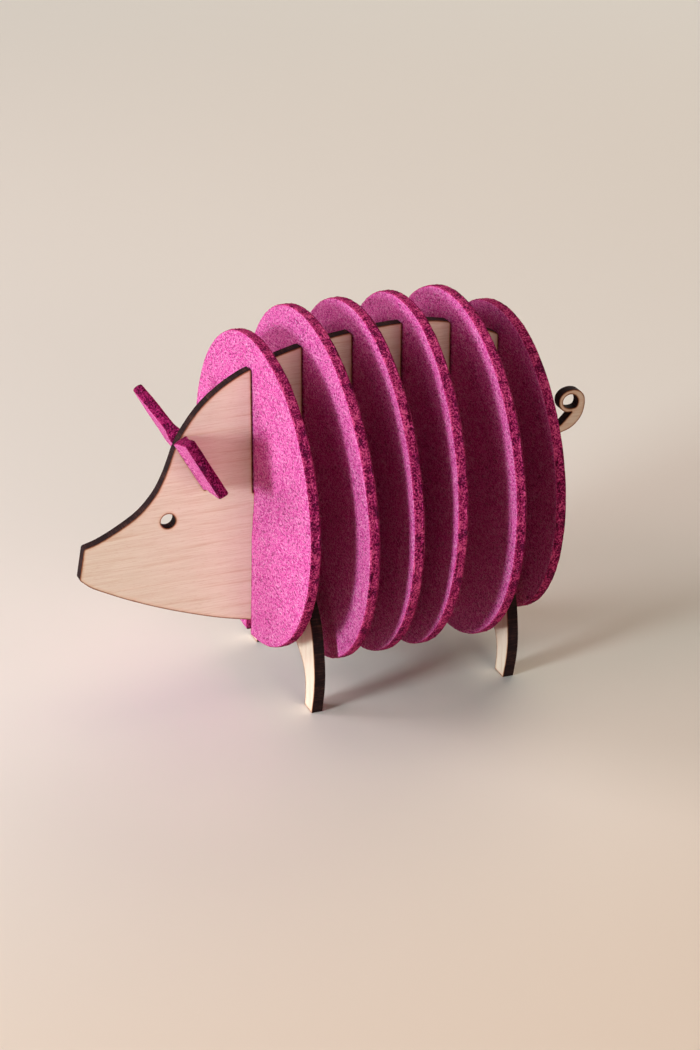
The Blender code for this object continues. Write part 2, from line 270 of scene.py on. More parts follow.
# How a panel is meshed. The face has rings of points beside the cut, in millimetres from it, close enough to
# hold the width of the scorch, and a coarse grid of points further in. Fill kind 4 keeps the outlines as
# edges between the faces. The fill weld is in millimetres too, and sharpFrom in degrees.
panelMesh = {
    "edgeStep": 0.9 * mm, "traceStep": 0.12 * mm, "chamfer": 0.07 * mm, "rings": (0.22, 0.5, 0.95, 1.7),
    "ringKeep": 0.93, "fillStep": 4.0 * mm, "fillReach": 2.2 * mm, "fillKind": 4, "fillWeld": 0.0001,
    "flatWithin": 0.02 * mm, "sharpFrom": 38,
}


# Gives a function that measures how far a point is from the nearest outline.
def distanceTo(outlines):
    points = np.concatenate([resampled(outline, panelMesh["traceStep"]) for outline in outlines])
    found = KDTree(len(points))
    for index, point in enumerate(points):
        found.insert((point[0], point[1], 0.0), index)
    found.balance()
    return lambda point: found.find((point[0], point[1], 0.0))[2]


# A flat sheet cut to its outlines, with a hair of chamfer along each edge.
def cutPanel(name, node, along, across, thickness, material):
    outlines, middle = sheetOutlines(node, along, across)
    outlines = [resampled(outline, panelMesh["edgeStep"]) for outline in outlines]
    reach = distanceTo(outlines)
    chamfer = panelMesh["chamfer"]
    half = thickness / 2

    inner = [inset(outline, chamfer) for outline in outlines]
    points = [tuple(point) for outline in inner for point in outline]
    edges = []
    for outline in inner:
        base = len(edges)
        edges += [(base + i, base + (i + 1) % len(outline)) for i in range(len(outline))]
    for ring in panelMesh["rings"]:
        distance = ring * mm
        for outline in outlines:
            shifted = inset(resampled(outline, max(panelMesh["edgeStep"], distance)), distance)
            points += [tuple(point) for point in shifted if reach(point) > panelMesh["ringKeep"] * distance]
    low = np.min([outline.min(axis=0) for outline in outlines], axis=0)
    high = np.max([outline.max(axis=0) for outline in outlines], axis=0)
    for x in np.arange(low[0], high[0], panelMesh["fillStep"]):
        for y in np.arange(low[1], high[1], panelMesh["fillStep"]):
            if reach((x, y)) > panelMesh["fillReach"]:
                points.append((x, y))
    flat = [Vector((point[0] / mm, point[1] / mm)) for point in points]
    filled = delaunay_2d_cdt(flat, edges, [], panelMesh["fillKind"], panelMesh["fillWeld"])
    spots = filled[0]
    middles = np.array([sum((spots[i] for i in triangle), Vector((0, 0))) / 3 for triangle in filled[2]])
    triangles = [triangle for triangle, kept in zip(filled[2], isInside(middles * mm, inner)) if kept]

    normal = along.cross(across)
    axes = Matrix((along, across, normal)).transposed()
    work = bmesh.new()

    def place(point, depth):
        return work.verts.new(axes @ Vector((point[0], point[1], middle + depth)))

    for side in (1, -1):
        corners = [place((spot[0] * mm, spot[1] * mm), side * half) for spot in spots]
        for triangle in triangles:
            order = triangle if side > 0 else reversed(triangle)
            work.faces.new([corners[i] for i in order])
    # levels of the cut edge: whether each is chamfered in, and its depth
    levels = [(True, half), (False, half - chamfer), (False, half / 3), (False, -half / 3),
              (False, chamfer - half), (True, -half)]
    for outline, innerOutline in zip(outlines, inner):
        rows = []
        for isIn, depth in levels:
            rows.append([place(point, depth) for point in (innerOutline if isIn else outline)])
        for upper, lower in zip(rows, rows[1:]):
            for i in range(len(upper)):
                j = (i + 1) % len(upper)
                work.faces.new((upper[j], upper[i], lower[i], lower[j]))
    bmesh.ops.remove_doubles(work, verts=work.verts, dist=2 * weldReach)
    bmesh.ops.recalc_face_normals(work, faces=work.faces)
    mesh = bpy.data.meshes.new(name)
    work.to_mesh(mesh)
    work.free()

    distances = mesh.attributes.new("burnDistance", "FLOAT", "POINT")
    cuts = mesh.attributes.new("cutEdge", "FLOAT", "POINT")
    for index, vertex in enumerate(mesh.vertices):
        onFace = abs(abs(vertex.co.dot(normal) - middle) - half) < panelMesh["flatWithin"]
        here = (vertex.co.dot(along), vertex.co.dot(across))
        cuts.data[index].value = 0.0 if onFace else 1.0
        distances.data[index].value = reach(here) / mm if onFace else 0.0
    mesh.polygons.foreach_set("use_smooth", [True] * len(mesh.polygons))
    mesh.set_sharp_from_angle(angle=math.radians(panelMesh["sharpFrom"]))
    mesh.materials.append(material)
    panel = newPiece(name, mesh)
    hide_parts(node)
    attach(panel, "stand")
    print("panel", name, len(mesh.polygons), "faces")


# Each panel's CAD node, its label, the direction along it, and how its grain is turned: level on the profile
# and upright on the leg plates. These come from another part of the veneer, moved by the millimetres given.
panels = {
    "profile_panel": ("body_profile", "profile", (1, 0, 0), (-math.pi / 2, 0, 0), (0.0, 0.0)),
    "front_leg_panel": ("front_legs", "front legs", (0, 1, 0), (0, math.pi / 2, 0), (17.0, 5.0)),
    "rear_leg_panel": ("rear_legs", "rear legs", (0, 1, 0), (0, math.pi / 2, 0), (17.0, 5.0)),
}
for name, (node, label, along, turn, moved) in panels.items():
    low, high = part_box(node)
    size = high - low
    middle = (low + high) / 2
    isProfile = node == "body_profile"
    depth = 0.0 if isProfile else middle.x * 1000
    wood = birchPlywood("birch plywood, " + label, turn, (*moved, depth), plywoodLook)
    cutPanel(name, node, Vector(along), Vector((0, 0, 1)), size.y if isProfile else size.x, wood)
print("plywood done")


# Colours and patterns of the felt, in millimetres. A pattern is its size, detail and roughness. Wool is
# about 0.03 mm thick, too fine to show, so the fibres and the grain are drawn some ten times as coarse. They
# are longer along Y, by the last number, because the fibres of a coaster lie mostly level.
feltLook = {
    # the palest felt colour is pale fibre tips painted paler still, a painted sheen
    "deep": "#A2196B", "body": "#D252A1", "bloomSheen": "#E9A9D2", "fleck": "#74084A",
    # the lip colour is partly paler frayed fibre, partly a painted highlight on the rounded rim
    "cutDark": "#4E0930", "cutMid": "#A02060", "cutPale": "#DC5890", "cutLipHighlight": "#F04A86",
    "cutStain": "#561C40",
    "patterns": {
        "grain": (0.42, 2.0, 0.7), "fibre": (0.24, 1.0, 0.5), "mottle": (2.4, 2.0, 0.6),
        "fleck": (0.50, 0.0, 0.5), "cutGrain": (0.46, 1.5, 0.6), "cutPatch": (3.2, 2.0, 0.55),
    },
    "shares": {"grain": 0.52, "fibre": 0.38, "mottle": 0.10}, "fleckAmount": 0.5, "patchAmount": 0.5,
    "relief": 0.7, "bump": 1.0, "rough": 0.95, "gloss": 0.04, "across": 2.2,
}
# The ears are the same felt, with the cut edge painted darker than on the coasters: painted shade.
earShadedLook = {**feltLook, "cutDark": "#3A0422", "cutMid": "#7C1048", "cutPale": "#A92C6A"}


# Pressed wool felt, dyed magenta: matt, with short fibres lying mostly level whose palest tips are a painted
# sheen, showing in shade as well as in light, small dark flecks between them, and a cut edge that is darker,
# coarser and speckled.
def pressedFelt(name, look):
    material, add = newMaterial(name)
    where = add("TexCoord", {}).outputs["Object"]
    level = add("Mapping", {"Vector": where, "Scale": (1000.0, 1000.0 / look["across"], 1000.0)})
    inMm = add("VectorMath", {"operation": "SCALE", 0: where, "Scale": 1000.0})
    noise = {}
    for part, (size, detail, rough) in look["patterns"].items():
        noise[part] = add("TexNoise", {"Vector": inMm if part.startswith("cut") else level,
                                       "Scale": 1 / size, "Detail": detail, "Roughness": rough})

    tone = 0.0
    for part, share in look["shares"].items():
        added = add("Math", {"operation": "MULTIPLY", 0: noise[part], 1: share})
        tone = add("Math", {"operation": "ADD", 0: tone, 1: added})
    # grain tone from deep to body to the palest stop, which is a painted sheen
    face = add("ValToRGB", {0: tone, "stops": [(0.34, look["deep"]), (0.48, look["body"]),
                                               (0.66, look["bloomSheen"])]})
    fleck = add("ValToRGB", {0: noise["fleck"], "stops": [(0.64, 0.0), (0.74, 1.0)]})
    fleck = add("Math", {"operation": "MULTIPLY", 0: fleck, 1: look["fleckAmount"]})
    face = add("Mix", {"data_type": "RGBA", 0: fleck, 6: face, 7: look["fleck"]})

    patch = add("Math", {"operation": "SUBTRACT", 0: noise["cutPatch"], 1: 0.5})
    patch = add("Math", {"operation": "MULTIPLY", 0: patch, 1: look["patchAmount"]})
    cut = add("Math", {"operation": "ADD", 0: noise["cutGrain"], 1: patch})
    cut = add("ValToRGB", {0: cut, "stops": [(0.36, look["cutDark"]), (0.50, look["cutMid"]),
                                             (0.66, look["cutPale"])]})
    stain = add("ValToRGB", {0: noise["cutPatch"], "stops": [(0.30, 0.5), (0.44, 0.0)]})
    cut = add("Mix", {"data_type": "RGBA", 0: stain, 6: cut, 7: look["cutStain"]})

    # the cut edge comes in over the rounded rim, behind a brighter lip that is partly paler frayed fibre and
    # partly a painted highlight along the rounded rim
    edge = add("Attribute", {"attribute_name": "cutEdge"}).outputs["Fac"]
    lipHighlight = add("ValToRGB", {0: edge, "stops": [(0.10, 0.0), (0.30, 0.5), (0.50, 0.15), (0.70, 0.0)]})
    cut = add("Mix", {"data_type": "RGBA", 0: lipHighlight, 6: cut, 7: look["cutLipHighlight"]})
    shown = add("ValToRGB", {0: edge, "stops": [(0.05, 0.0), (0.30, 1.0)]})
    nap = add("Math", {"operation": "SUBTRACT", 0: tone, 1: fleck})
    height = add("Mix", {"data_type": "RGBA", 0: edge, 6: nap, 7: noise["cutGrain"]})
    shader = add("BsdfPrincipled", {
        "Base Color": add("Mix", {"data_type": "RGBA", 0: shown, 6: face, 7: cut}),
        "Roughness": look["rough"],
        "Specular IOR Level": look["gloss"],
        "Normal": add("Bump", {"Strength": look["bump"], "Distance": look["relief"] * mm, "Height": height}),
    })
    add("OutputMaterial", {0: shader})
    return material


# Loose ends of wool: their colours, and the inputs of their tree. A fibre is drawn about 0.05 mm across,
# nearly twice as thick as wool, so that it shows.
woolLook = {"dark": "#8E1458", "body": "#C8307F", "pale": "#EC7CBB", "rough": 0.85, "gloss": 0.1}
fibreLook = {
    "Face Density": 60000.0, "Edge Density": 350000.0, "Length": 0.9 * mm, "Hair Radius": 0.025 * mm,
}


# Loose wool fibre, dyed with the felt and standing off it: each is a little darker or paler than the next,
# and the palest are a painted highlight, as if they caught the light.
def looseWool(name, look):
    material, add = newMaterial(name)
    random = add("NewGeometry", {}).outputs["Random Per Island"]
    tint = add("ValToRGB", {0: random, "stops": [(0.0, look["dark"]), (0.6, look["body"]),
                                                 (1.0, look["pale"])]})
    shader = add("BsdfPrincipled", {"Base Color": tint, "Roughness": look["rough"],
                                    "Specular IOR Level": look["gloss"]})
    add("OutputMaterial", {0: shader})
    return material


# A geometry tree with named inputs between its mesh and its material. Gives the tree, addNode for it, and
# the sockets of its inputs.
def newTree(name, inputs):
    kinds = {float: "NodeSocketFloat", int: "NodeSocketInt", tuple: "NodeSocketVector"}
    tree = bpy.data.node_groups.new(name, "GeometryNodeTree")
    tree.interface.new_socket("Geometry", in_out="INPUT", socket_type="NodeSocketGeometry")
    for label, value in inputs.items():
        socket = tree.interface.new_socket(label, in_out="INPUT", socket_type=kinds[type(value)])
        socket.default_value = value
    tree.interface.new_socket("Material", in_out="INPUT", socket_type="NodeSocketMaterial")
    tree.interface.new_socket("Geometry", in_out="OUTPUT", socket_type="NodeSocketGeometry")
    add = partial(addNode, tree)
    return tree, add, add("NodeGroupInput", {}).outputs


# Every tree ends in Realize Instances and Set Material.
def endTree(add, source, geometry):
    realized = add("GeometryNodeRealizeInstances", {0: geometry})
    coated = add("GeometryNodeSetMaterial", {0: realized, "Material": source["Material"]})
    add("NodeGroupOutput", {0: coated})


# Runs a tree on an object and gives back the result as a plain mesh.
def runTree(piece, tree, values):
    modifier = piece.modifiers.new(tree.name, "NODES")
    modifier.node_group = tree
    for item in tree.interface.items_tree:
        if item.in_out == "INPUT" and item.name in values:
            modifier[item.identifier] = values[item.name]
    mesh = bpy.data.meshes.new_from_object(piece.evaluated_get(bpy.context.evaluated_depsgraph_get()))
    piece.modifiers.remove(modifier)
    mesh.name = piece.name
    return mesh


# A round coaster: a disc with a rounded rim, slit from its lower edge to its middle. Rings crowd toward the
# rim. Where the profile grips the felt it stays in its slot, and further out it leans and turns as it hangs.
def coasterTree():
    tree, add, source = newTree("round coaster", {
        "Radius": 50 * mm, "Thickness": 3 * mm, "Rim Round": 0.5 * mm, "Slit Width": 3.4 * mm,
        "Slit Top": 0.3 * mm, "Knife Depth": 20 * mm, "Around": 320, "Rings": 48, "Ring Crowding": 1.6,
        "Centre": (0.0, 0.0, 0.0), "Shift": 0.0, "Lean": 0.0, "Turn": 0.0, "Grip Start": 1.6 * mm,
        "Grip": 22 * mm, "Tooth Top": 40 * mm, "Tooth Fade": 12 * mm, "Foot Fade": 16 * mm,
    })
    disc = add("GeometryNodeMeshCylinder", {
        "fill_type": "TRIANGLE_FAN", "Vertices": source["Around"], "Side Segments": 6,
        "Fill Segments": source["Rings"], "Radius": source["Radius"], "Depth": source["Thickness"]})
    disc = add("GeometryNodeTransform", {0: disc, "Rotation": (0.0, math.pi / 2, 0.0)})
    x, y, z = add("SeparateXYZ", {0: add("GeometryNodeInputPosition", {})}).outputs

    # rings move out toward the rim: share is how far out a point lies, and spread how much further it goes
    yy = add("Math", {"operation": "MULTIPLY", 0: y, 1: y})
    zz = add("Math", {"operation": "MULTIPLY", 0: z, 1: z})
    radius = add("Math", {"operation": "SQRT", 0: add("Math", {"operation": "ADD", 0: yy, 1: zz})})
    share = add("Math", {"operation": "DIVIDE", 0: radius, 1: source["Radius"]})
    left = add("Math", {"operation": "SUBTRACT", "use_clamp": True, 0: 1.0, 1: share})
    left = add("Math", {"operation": "POWER", 0: left, 1: source["Ring Crowding"]})
    crowded = add("Math", {"operation": "SUBTRACT", 0: 1.0, 1: left})
    nonZero = add("Math", {"operation": "MAXIMUM", 0: share, 1: 1e-6})
    spread = add("Math", {"operation": "DIVIDE", 0: crowded, 1: nonZero})

    # the rim is rounded off by a quarter circle on each face
    out = add("Math", {"operation": "MULTIPLY", 0: crowded, 1: source["Radius"]})
    start = add("Math", {"operation": "SUBTRACT", 0: source["Radius"], 1: source["Rim Round"]})
    out = add("Math", {"operation": "SUBTRACT", 0: out, 1: start})
    out = add("Math", {"operation": "DIVIDE", 0: out, 1: source["Rim Round"]})
    out = add("Math", {"operation": "MAXIMUM", 0: out, 1: 0.0})
    out = add("Math", {"operation": "MULTIPLY", 0: out, 1: out})
    arc = add("Math", {"operation": "SUBTRACT", "use_clamp": True, 0: 1.0, 1: out})
    arc = add("Math", {"operation": "SQRT", 0: arc})
    drop = add("Math", {"operation": "SUBTRACT", 0: 1.0, 1: arc})
    drop = add("Math", {"operation": "MULTIPLY", 0: drop, 1: source["Rim Round"]})
    limit = add("Math", {"operation": "MULTIPLY", 0: source["Thickness"], 1: 0.5})
    limit = add("Math", {"operation": "SUBTRACT", 0: limit, 1: drop})
    lowest = add("Math", {"operation": "MULTIPLY", 0: limit, 1: -1.0})
    depth = add("Math", {"operation": "MAXIMUM", 0: x, 1: lowest})
    joined = add("CombineXYZ", {
        0: add("Math", {"operation": "MINIMUM", 0: depth, 1: limit}),
        1: add("Math", {"operation": "MULTIPLY", 0: y, 1: spread}),
        2: add("Math", {"operation": "MULTIPLY", 0: z, 1: spread})})
    disc = add("GeometryNodeSetPosition", {0: disc, "Position": joined})

    # the slit is cut by a block that reaches past the lower edge
    reach = add("Math", {"operation": "MULTIPLY", 0: source["Radius"], 1: 1.2})
    size = add("CombineXYZ", {0: source["Knife Depth"], 1: source["Slit Width"], 2: reach})
    half = add("Math", {"operation": "MULTIPLY", 0: reach, 1: 0.5})
    below = add("CombineXYZ", {2: add("Math", {"operation": "SUBTRACT", 0: source["Slit Top"], 1: half})})
    knife = add("GeometryNodeMeshCube", {"Size": size})
    knife = add("GeometryNodeTransform", {0: knife, "Translation": below})
    disc = add("GeometryNodeMeshBoolean", {"operation": "DIFFERENCE", "solver": "EXACT", 0: disc, 1: knife})

    # the felt leans and turns as one plane, apart from where the tooth and the slot hold it
    y, z = add("SeparateXYZ", {0: add("GeometryNodeInputPosition", {})}).outputs[1:]
    lean = add("Math", {"operation": "TANGENT", 0: source["Lean"]})
    lean = add("Math", {"operation": "MULTIPLY", 0: z, 1: lean})
    turn = add("Math", {"operation": "TANGENT", 0: source["Turn"]})
    turn = add("Math", {"operation": "MULTIPLY", 0: y, 1: turn})
    plane = add("Math", {"operation": "ADD", 0: lean, 1: turn})
    plane = add("Math", {"operation": "ADD", 0: source["Shift"], 1: plane})
    aside = add("Math", {"operation": "ABSOLUTE", 0: y})
    under = add("Math", {"operation": "MULTIPLY", 0: z, 1: -1.0})
    toothEnd = add("Math", {"operation": "ADD", 0: source["Tooth Top"], 1: source["Tooth Fade"]})
    held = 1.0
    for measured, start, end in ((z, source["Tooth Top"], toothEnd), (under, 0.0, source["Foot Fade"]),
                                 (aside, source["Grip Start"], source["Grip"])):
        fade = add("MapRange", {"interpolation_type": "SMOOTHSTEP", 0: measured, 1: start, 2: end})
        fade = add("Math", {"operation": "SUBTRACT", 0: 1.0, 1: fade})
        held = add("Math", {"operation": "MULTIPLY", 0: held, 1: fade})
    free = add("Math", {"operation": "SUBTRACT", 0: 1.0, 1: held})
    offset = add("CombineXYZ", {0: add("Math", {"operation": "MULTIPLY", 0: plane, 1: free})})
    moved = add("VectorMath", {"operation": "ADD", 0: offset, 1: source["Centre"]})
    endTree(add, source, add("GeometryNodeSetPosition", {0: disc, "Offset": moved}))
    return tree


# The surface of felt: low waves and a fine nap over the faces, and a rougher cut edge, which is marked for
# the material.
def napTree():
    tree, add, source = newTree("felt nap", {
        "Sheet Normal": (1.0, 0.0, 0.0), "Seed": 0.0, "Wave Height": 0.14 * mm, "Wave Size": 6 * mm,
        "Nap Height": 0.08 * mm, "Nap Size": 1.4 * mm, "Edge Height": 0.26 * mm, "Edge Size": 0.8 * mm,
    })
    normal = add("GeometryNodeInputNormal", {})
    facing = add("VectorMath", {"operation": "DOT_PRODUCT", 0: normal, 1: source["Sheet Normal"]})
    facing = add("Math", {"operation": "ABSOLUTE", 0: facing})
    cut = add("MapRange", {"interpolation_type": "SMOOTHSTEP", 0: facing, 1: 0.95, 2: 0.45})
    marked = add("GeometryNodeStoreNamedAttribute", {
        "data_type": "FLOAT", "domain": "POINT", 0: source["Geometry"], "Name": "cutEdge", "Value": cut})

    place = add("GeometryNodeInputPosition", {})
    place = add("VectorMath", {"operation": "ADD", 0: place, 1: source["Seed"]})
    heights = {}
    for part, detail in (("Wave", 1.0), ("Nap", 2.0), ("Edge", 2.0)):
        scale = add("Math", {"operation": "DIVIDE", 0: 1.0, 1: source[part + " Size"]})
        wave = add("TexNoise", {"Vector": place, "Scale": scale, "Detail": detail, "Roughness": 0.6})
        wave = add("Math", {"operation": "SUBTRACT", 0: wave, 1: 0.5})
        heights[part] = add("Math", {"operation": "MULTIPLY", 0: wave, 1: source[part + " Height"]})
    edge = add("GeometryNodeInputNamedAttribute", {"data_type": "FLOAT", "Name": "cutEdge"})
    flat = add("Math", {"operation": "ADD", 0: heights["Wave"], 1: heights["Nap"]})
    face = add("Math", {"operation": "SUBTRACT", 0: 1.0, 1: edge})
    flat = add("Math", {"operation": "MULTIPLY", 0: flat, 1: face})
    rough = add("Math", {"operation": "MULTIPLY", 0: heights["Edge"], 1: edge})
    amount = add("Math", {"operation": "ADD", 0: flat, 1: rough})
    amount = add("Math", {"operation": "MULTIPLY", 0: 2.0, 1: amount})
    outward = add("GeometryNodeInputNormal", {})
    offset = add("VectorMath", {"operation": "SCALE", 0: outward, "Scale": amount})
    endTree(add, source, add("GeometryNodeSetPosition", {0: marked, "Offset": offset}))
    return tree


# Loose fibres: short bent hairs laid almost flat over a piece of felt, more of them along its cut edge.
def fibreTree():
    tree, add, source = newTree("loose fibres", {
        "Face Density": 90000.0, "Edge Density": 700000.0, "Length": 1.1 * mm, "Hair Radius": 0.03 * mm,
        "Seed": 1,
    })
    edge = add("GeometryNodeInputNamedAttribute", {"data_type": "FLOAT", "Name": "cutEdge"})
    more = add("Math", {"operation": "SUBTRACT", 0: source["Edge Density"], 1: source["Face Density"]})
    more = add("Math", {"operation": "MULTIPLY", 0: edge, 1: more})
    density = add("Math", {"operation": "ADD", 0: source["Face Density"], 1: more})
    spread = add("GeometryNodeDistributePointsOnFaces", {
        "distribute_method": "RANDOM", 0: source["Geometry"], "Density": density, "Seed": source["Seed"]})

    # one hair, one unit long, that is scaled to its length on the felt
    bend = add("GeometryNodeCurveQuadraticBezier", {
        "Resolution": 3, "Start": (-0.5, 0.0, -0.03), "Middle": (0.05, 0.22, 0.10),
        "End": (0.5, -0.05, 0.05)})
    slim = add("Math", {"operation": "DIVIDE", 0: source["Hair Radius"], 1: source["Length"]})
    ring = add("GeometryNodeCurvePrimitiveCircle", {"Resolution": 3, "Radius": slim})
    hair = add("GeometryNodeCurveToMesh", {0: bend, "Profile Curve": ring, "Fill Caps": True})
    spin = add("FunctionNodeRandomValue", {"data_type": "FLOAT_VECTOR", 0: (-0.15, -0.30, -3.1416),
                                           1: (0.15, 0.30, 3.1416), "Seed": source["Seed"]})
    turned = add("FunctionNodeRotateRotation", {"rotation_space": "LOCAL", 0: spread.outputs["Rotation"],
                                                1: spin})
    size = add("FunctionNodeRandomValue", {"data_type": "FLOAT", 2: 0.5, 3: 1.3, "Seed": source["Seed"]})
    size = add("Math", {"operation": "MULTIPLY", 0: size, 1: source["Length"]})
    hairs = add("GeometryNodeInstanceOnPoints", {0: spread, "Instance": hair, "Rotation": turned,
                                                 "Scale": size})
    endTree(add, source, hairs)
    return tree


roundCoaster = coasterTree()
feltNap = napTree()
looseFibres = fibreTree()
felt = pressedFelt("pressed wool felt", feltLook)
earShadedFelt = pressedFelt("pressed wool felt, ears, painted shade", earShadedLook)
wool = looseWool("loose wool fibre", woolLook)


# Gives a blank of felt its surface and its loose fibres, and puts both on a body in place of a CAD node.
def dressFelt(name, blank, normal, seed, node, body, coat):
    blank.data = runTree(blank, feltNap, {"Sheet Normal": normal, "Seed": 0.37 * seed, "Material": coat})
    blank.data.polygons.foreach_set("use_smooth", [True] * len(blank.data.polygons))
    fibres = newPiece(name + "_fibres", blank.data)
    fibres.data = runTree(fibres, looseFibres, {**fibreLook, "Seed": seed, "Material": wool})
    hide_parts(node)
    for piece in (blank, fibres):
        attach(piece, body)
    print("felt", name, len(blank.data.polygons), "faces,", len(fibres.data.polygons), "on fibres")


# How each coaster hangs: moved along X in millimetres, leaning back at the top and turned back on the far
# side in degrees, the height of the tooth that it leans on, and how high it sits in its slot.
coasterLean = {
    1: (-0.6, 1.1, -1.7, 37.0, 0.4),
    2: (0.6, -0.5, 0.0, 42.0, 0.0),
    3: (-0.5, 0.7, 1.0, 43.5, 0.0),
    4: (-1.6, 2.3, 2.4, 44.0, 0.1),
    5: (-0.2, 0.7, 1.1, 42.0, -0.1),
    6: (0.1, 0.1, 1.9, 37.0, -0.25),
}
profileLow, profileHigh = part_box("body_profile")
profileThickness = profileHigh.y - profileLow.y
slitPlay = 0.2 * mm  # the slit is this much wider than the profile
for index, (shift, lean, turn, tooth, rise) in coasterLean.items():
    name = "coaster_" + str(index)
    low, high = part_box(name)
    radius = (high.y - low.y) / 2
    centre = Vector(((low.x + high.x) / 2, 0.0, high.z - radius + rise * mm))
    blank = newPiece(name + "_felt", bpy.data.meshes.new("empty"))
    blank.data = runTree(blank, roundCoaster, {
        "Radius": radius, "Thickness": high.x - low.x, "Slit Width": profileThickness + slitPlay,
        "Centre": centre, "Shift": shift * mm, "Lean": math.radians(lean), "Turn": math.radians(turn),
        "Tooth Top": tooth * mm, "Material": felt,
    })
    dressFelt(name, blank, (1.0, 0.0, 0.0), index, name, name, felt)
print("coasters done")


# The ears are one strip of felt. It is drawn flat, thickened, and laid in the plane of its CAD solid. It is
# squeezed in the profile's slot, swollen where it comes out, and droops a little toward its tips. Squeezed
# and swollen are half thicknesses.
earShape = {
    "stepAcross": 0.7 * mm, "stepUp": 0.7 * mm, "edgeRound": 0.35 * mm, "droop": 0.5 * mm,
    "squeezed": 1.72 * mm, "swollen": 2.1 * mm, "swellReach": 4.0 * mm, "rootReach": 3 * mm,
    "tipReach": 0.05 * mm, "tipWiden": 0.6 * mm, "mouthStep": 0.15 * mm, "mouthStart": 0.02 * mm,
}


def earBlank(name, node):
    work = bmesh.new()
    work.from_mesh(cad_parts[node].data)
    bmesh.ops.remove_doubles(work, verts=work.verts, dist=weldReach)
    work.normal_update()
    largest = max(work.faces, key=lambda face: face.calc_area())
    normal = largest.normal.copy()
    if normal.x < 0:
        normal = -normal
    work.free()
    across = Vector((0, 1, 0))
    upward = normal.cross(across).normalized()
    if upward.z < 0:
        upward = -upward
    outlines, middle = sheetOutlines(node, across, upward)
    sheetNormal = across.cross(upward)
    depths = [v.co.dot(sheetNormal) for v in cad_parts[node].data.vertices]
    thickness = max(depths) - min(depths)

    outline = outlines[0]
    half = outline[:, 0].max()
    tips = outline[outline[:, 0] > half - earShape["tipReach"]]
    root = outline[np.abs(outline[:, 0]) < earShape["rootReach"]]
    tipTop = tips[:, 1].max()
    tipBottom = tips[:, 1].min()
    rootTop = root[:, 1].max()
    rootBottom = root[:, 1].min()
    rootHalf = np.abs(root[:, 0]).max()
    neckTop = np.median(root[:, 1])
    slotHalf = profileThickness / 2

    def blend(value, start, end):
        share = min(1.0, max(0.0, (value - start) / (end - start)))
        return share * share * (3 - 2 * share)

    # top and bottom of the strip and half its thickness, at a distance from the profile's middle
    def section(v):
        share = max(0.0, (abs(v) - rootHalf) / (half - rootHalf))
        top = rootTop + (tipTop + earShape["tipWiden"] - rootTop) * share
        top = neckTop + (top - neckTop) * blend(abs(v), slotHalf + earShape["mouthStart"], rootHalf)
        bottom = rootBottom + (tipBottom - earShape["tipWiden"] - rootBottom) * share
        settled = blend(abs(v), rootHalf, rootHalf + earShape["swellReach"])
        swell = earShape["swollen"] + (thickness / 2 - earShape["swollen"]) * settled
        depth = earShape["squeezed"] + (swell - earShape["squeezed"]) * blend(abs(v), slotHalf, rootHalf)
        return top, bottom, depth

    mouth = slotHalf + earShape["mouthStep"]
    neck = [-mouth, -slotHalf, -slotHalf / 3, slotHalf / 3, slotHalf, mouth]
    flap = np.linspace(rootHalf, half, int((half - rootHalf) / earShape["stepAcross"]) + 1)
    places = np.concatenate([-flap[::-1], neck, flap])
    columns = len(places) - 1
    rows = int((rootTop - rootBottom) / earShape["stepUp"])
    work = bmesh.new()

    def corner(i, j, level, pull):
        v = max(-half + pull, min(half - pull, places[i]))
        top, bottom, depth = section(v)
        up = max(bottom + pull, min(top - pull, bottom + (top - bottom) * j / rows))
        share = max(0.0, (abs(v) - rootHalf) / (half - rootHalf))
        bend = earShape["droop"] * share * share * (1 if v < 0 else -1)
        return work.verts.new(across * v + upward * up + sheetNormal * (middle + level * depth + bend))

    grids = {}
    for side in (-1, 1):
        grid = []
        for i in range(columns + 1):
            grid.append([corner(i, j, side, earShape["edgeRound"]) for j in range(rows + 1)])
        for i in range(columns):
            for j in range(rows):
                quad = [grid[i][j], grid[i + 1][j], grid[i + 1][j + 1], grid[i][j + 1]]
                work.faces.new(quad if side > 0 else quad[::-1])
        grids[side] = grid
    ring = [(i, 0) for i in range(columns)] + [(columns, j) for j in range(rows)]
    ring += [(i, rows) for i in range(columns, 0, -1)] + [(0, j) for j in range(rows, 0, -1)]
    # the rounded edge between the faces: how deep each level lies, and how far it is pulled in
    rounds = [[grids[-1][i][j] for i, j in ring]]
    for level, pull in ((-0.8, 0.35), (-0.35, 0.0), (0.35, 0.0), (0.8, 0.35)):
        rounds.append([corner(i, j, level, pull * earShape["edgeRound"]) for i, j in ring])
    rounds.append([grids[1][i][j] for i, j in ring])
    for lower, upper in zip(rounds, rounds[1:]):
        for a in range(len(ring)):
            b = (a + 1) % len(ring)
            work.faces.new((lower[a], lower[b], upper[b], upper[a]))
    bmesh.ops.recalc_face_normals(work, faces=work.faces)
    mesh = bpy.data.meshes.new(name)
    work.to_mesh(mesh)
    work.free()
    return newPiece(name, mesh), sheetNormal


ears, earNormal = earBlank("ears_felt", "ears")
# the ears' felt carries painted shade on its cut edge
dressFelt("ears", ears, tuple(earNormal), 11, "ears", "stand", earShadedFelt)
print("ears done")


# The floor is a little cooler behind the object than in front of it, from coolFrom to warmFrom along Y: the
# warmth in front is painted warm light. It throws back a browner light than it shows. Far away, where the
# lamps no longer reach, it is seen in one plain pale tone, from fadeStart to fadeEnd. All but the colours,
# rough and gloss are in metres.
floorLook = {
    "cool": "#E6E8E2", "warm": "#E4D9C8", "reflected": "#C2B09B", "far": "#D8D1C7", "size": 30.0,
    "coolFrom": 0.02, "warmFrom": -0.22, "fadeStart": 0.40, "fadeEnd": 1.30, "rough": 0.7, "gloss": 0.2,
}


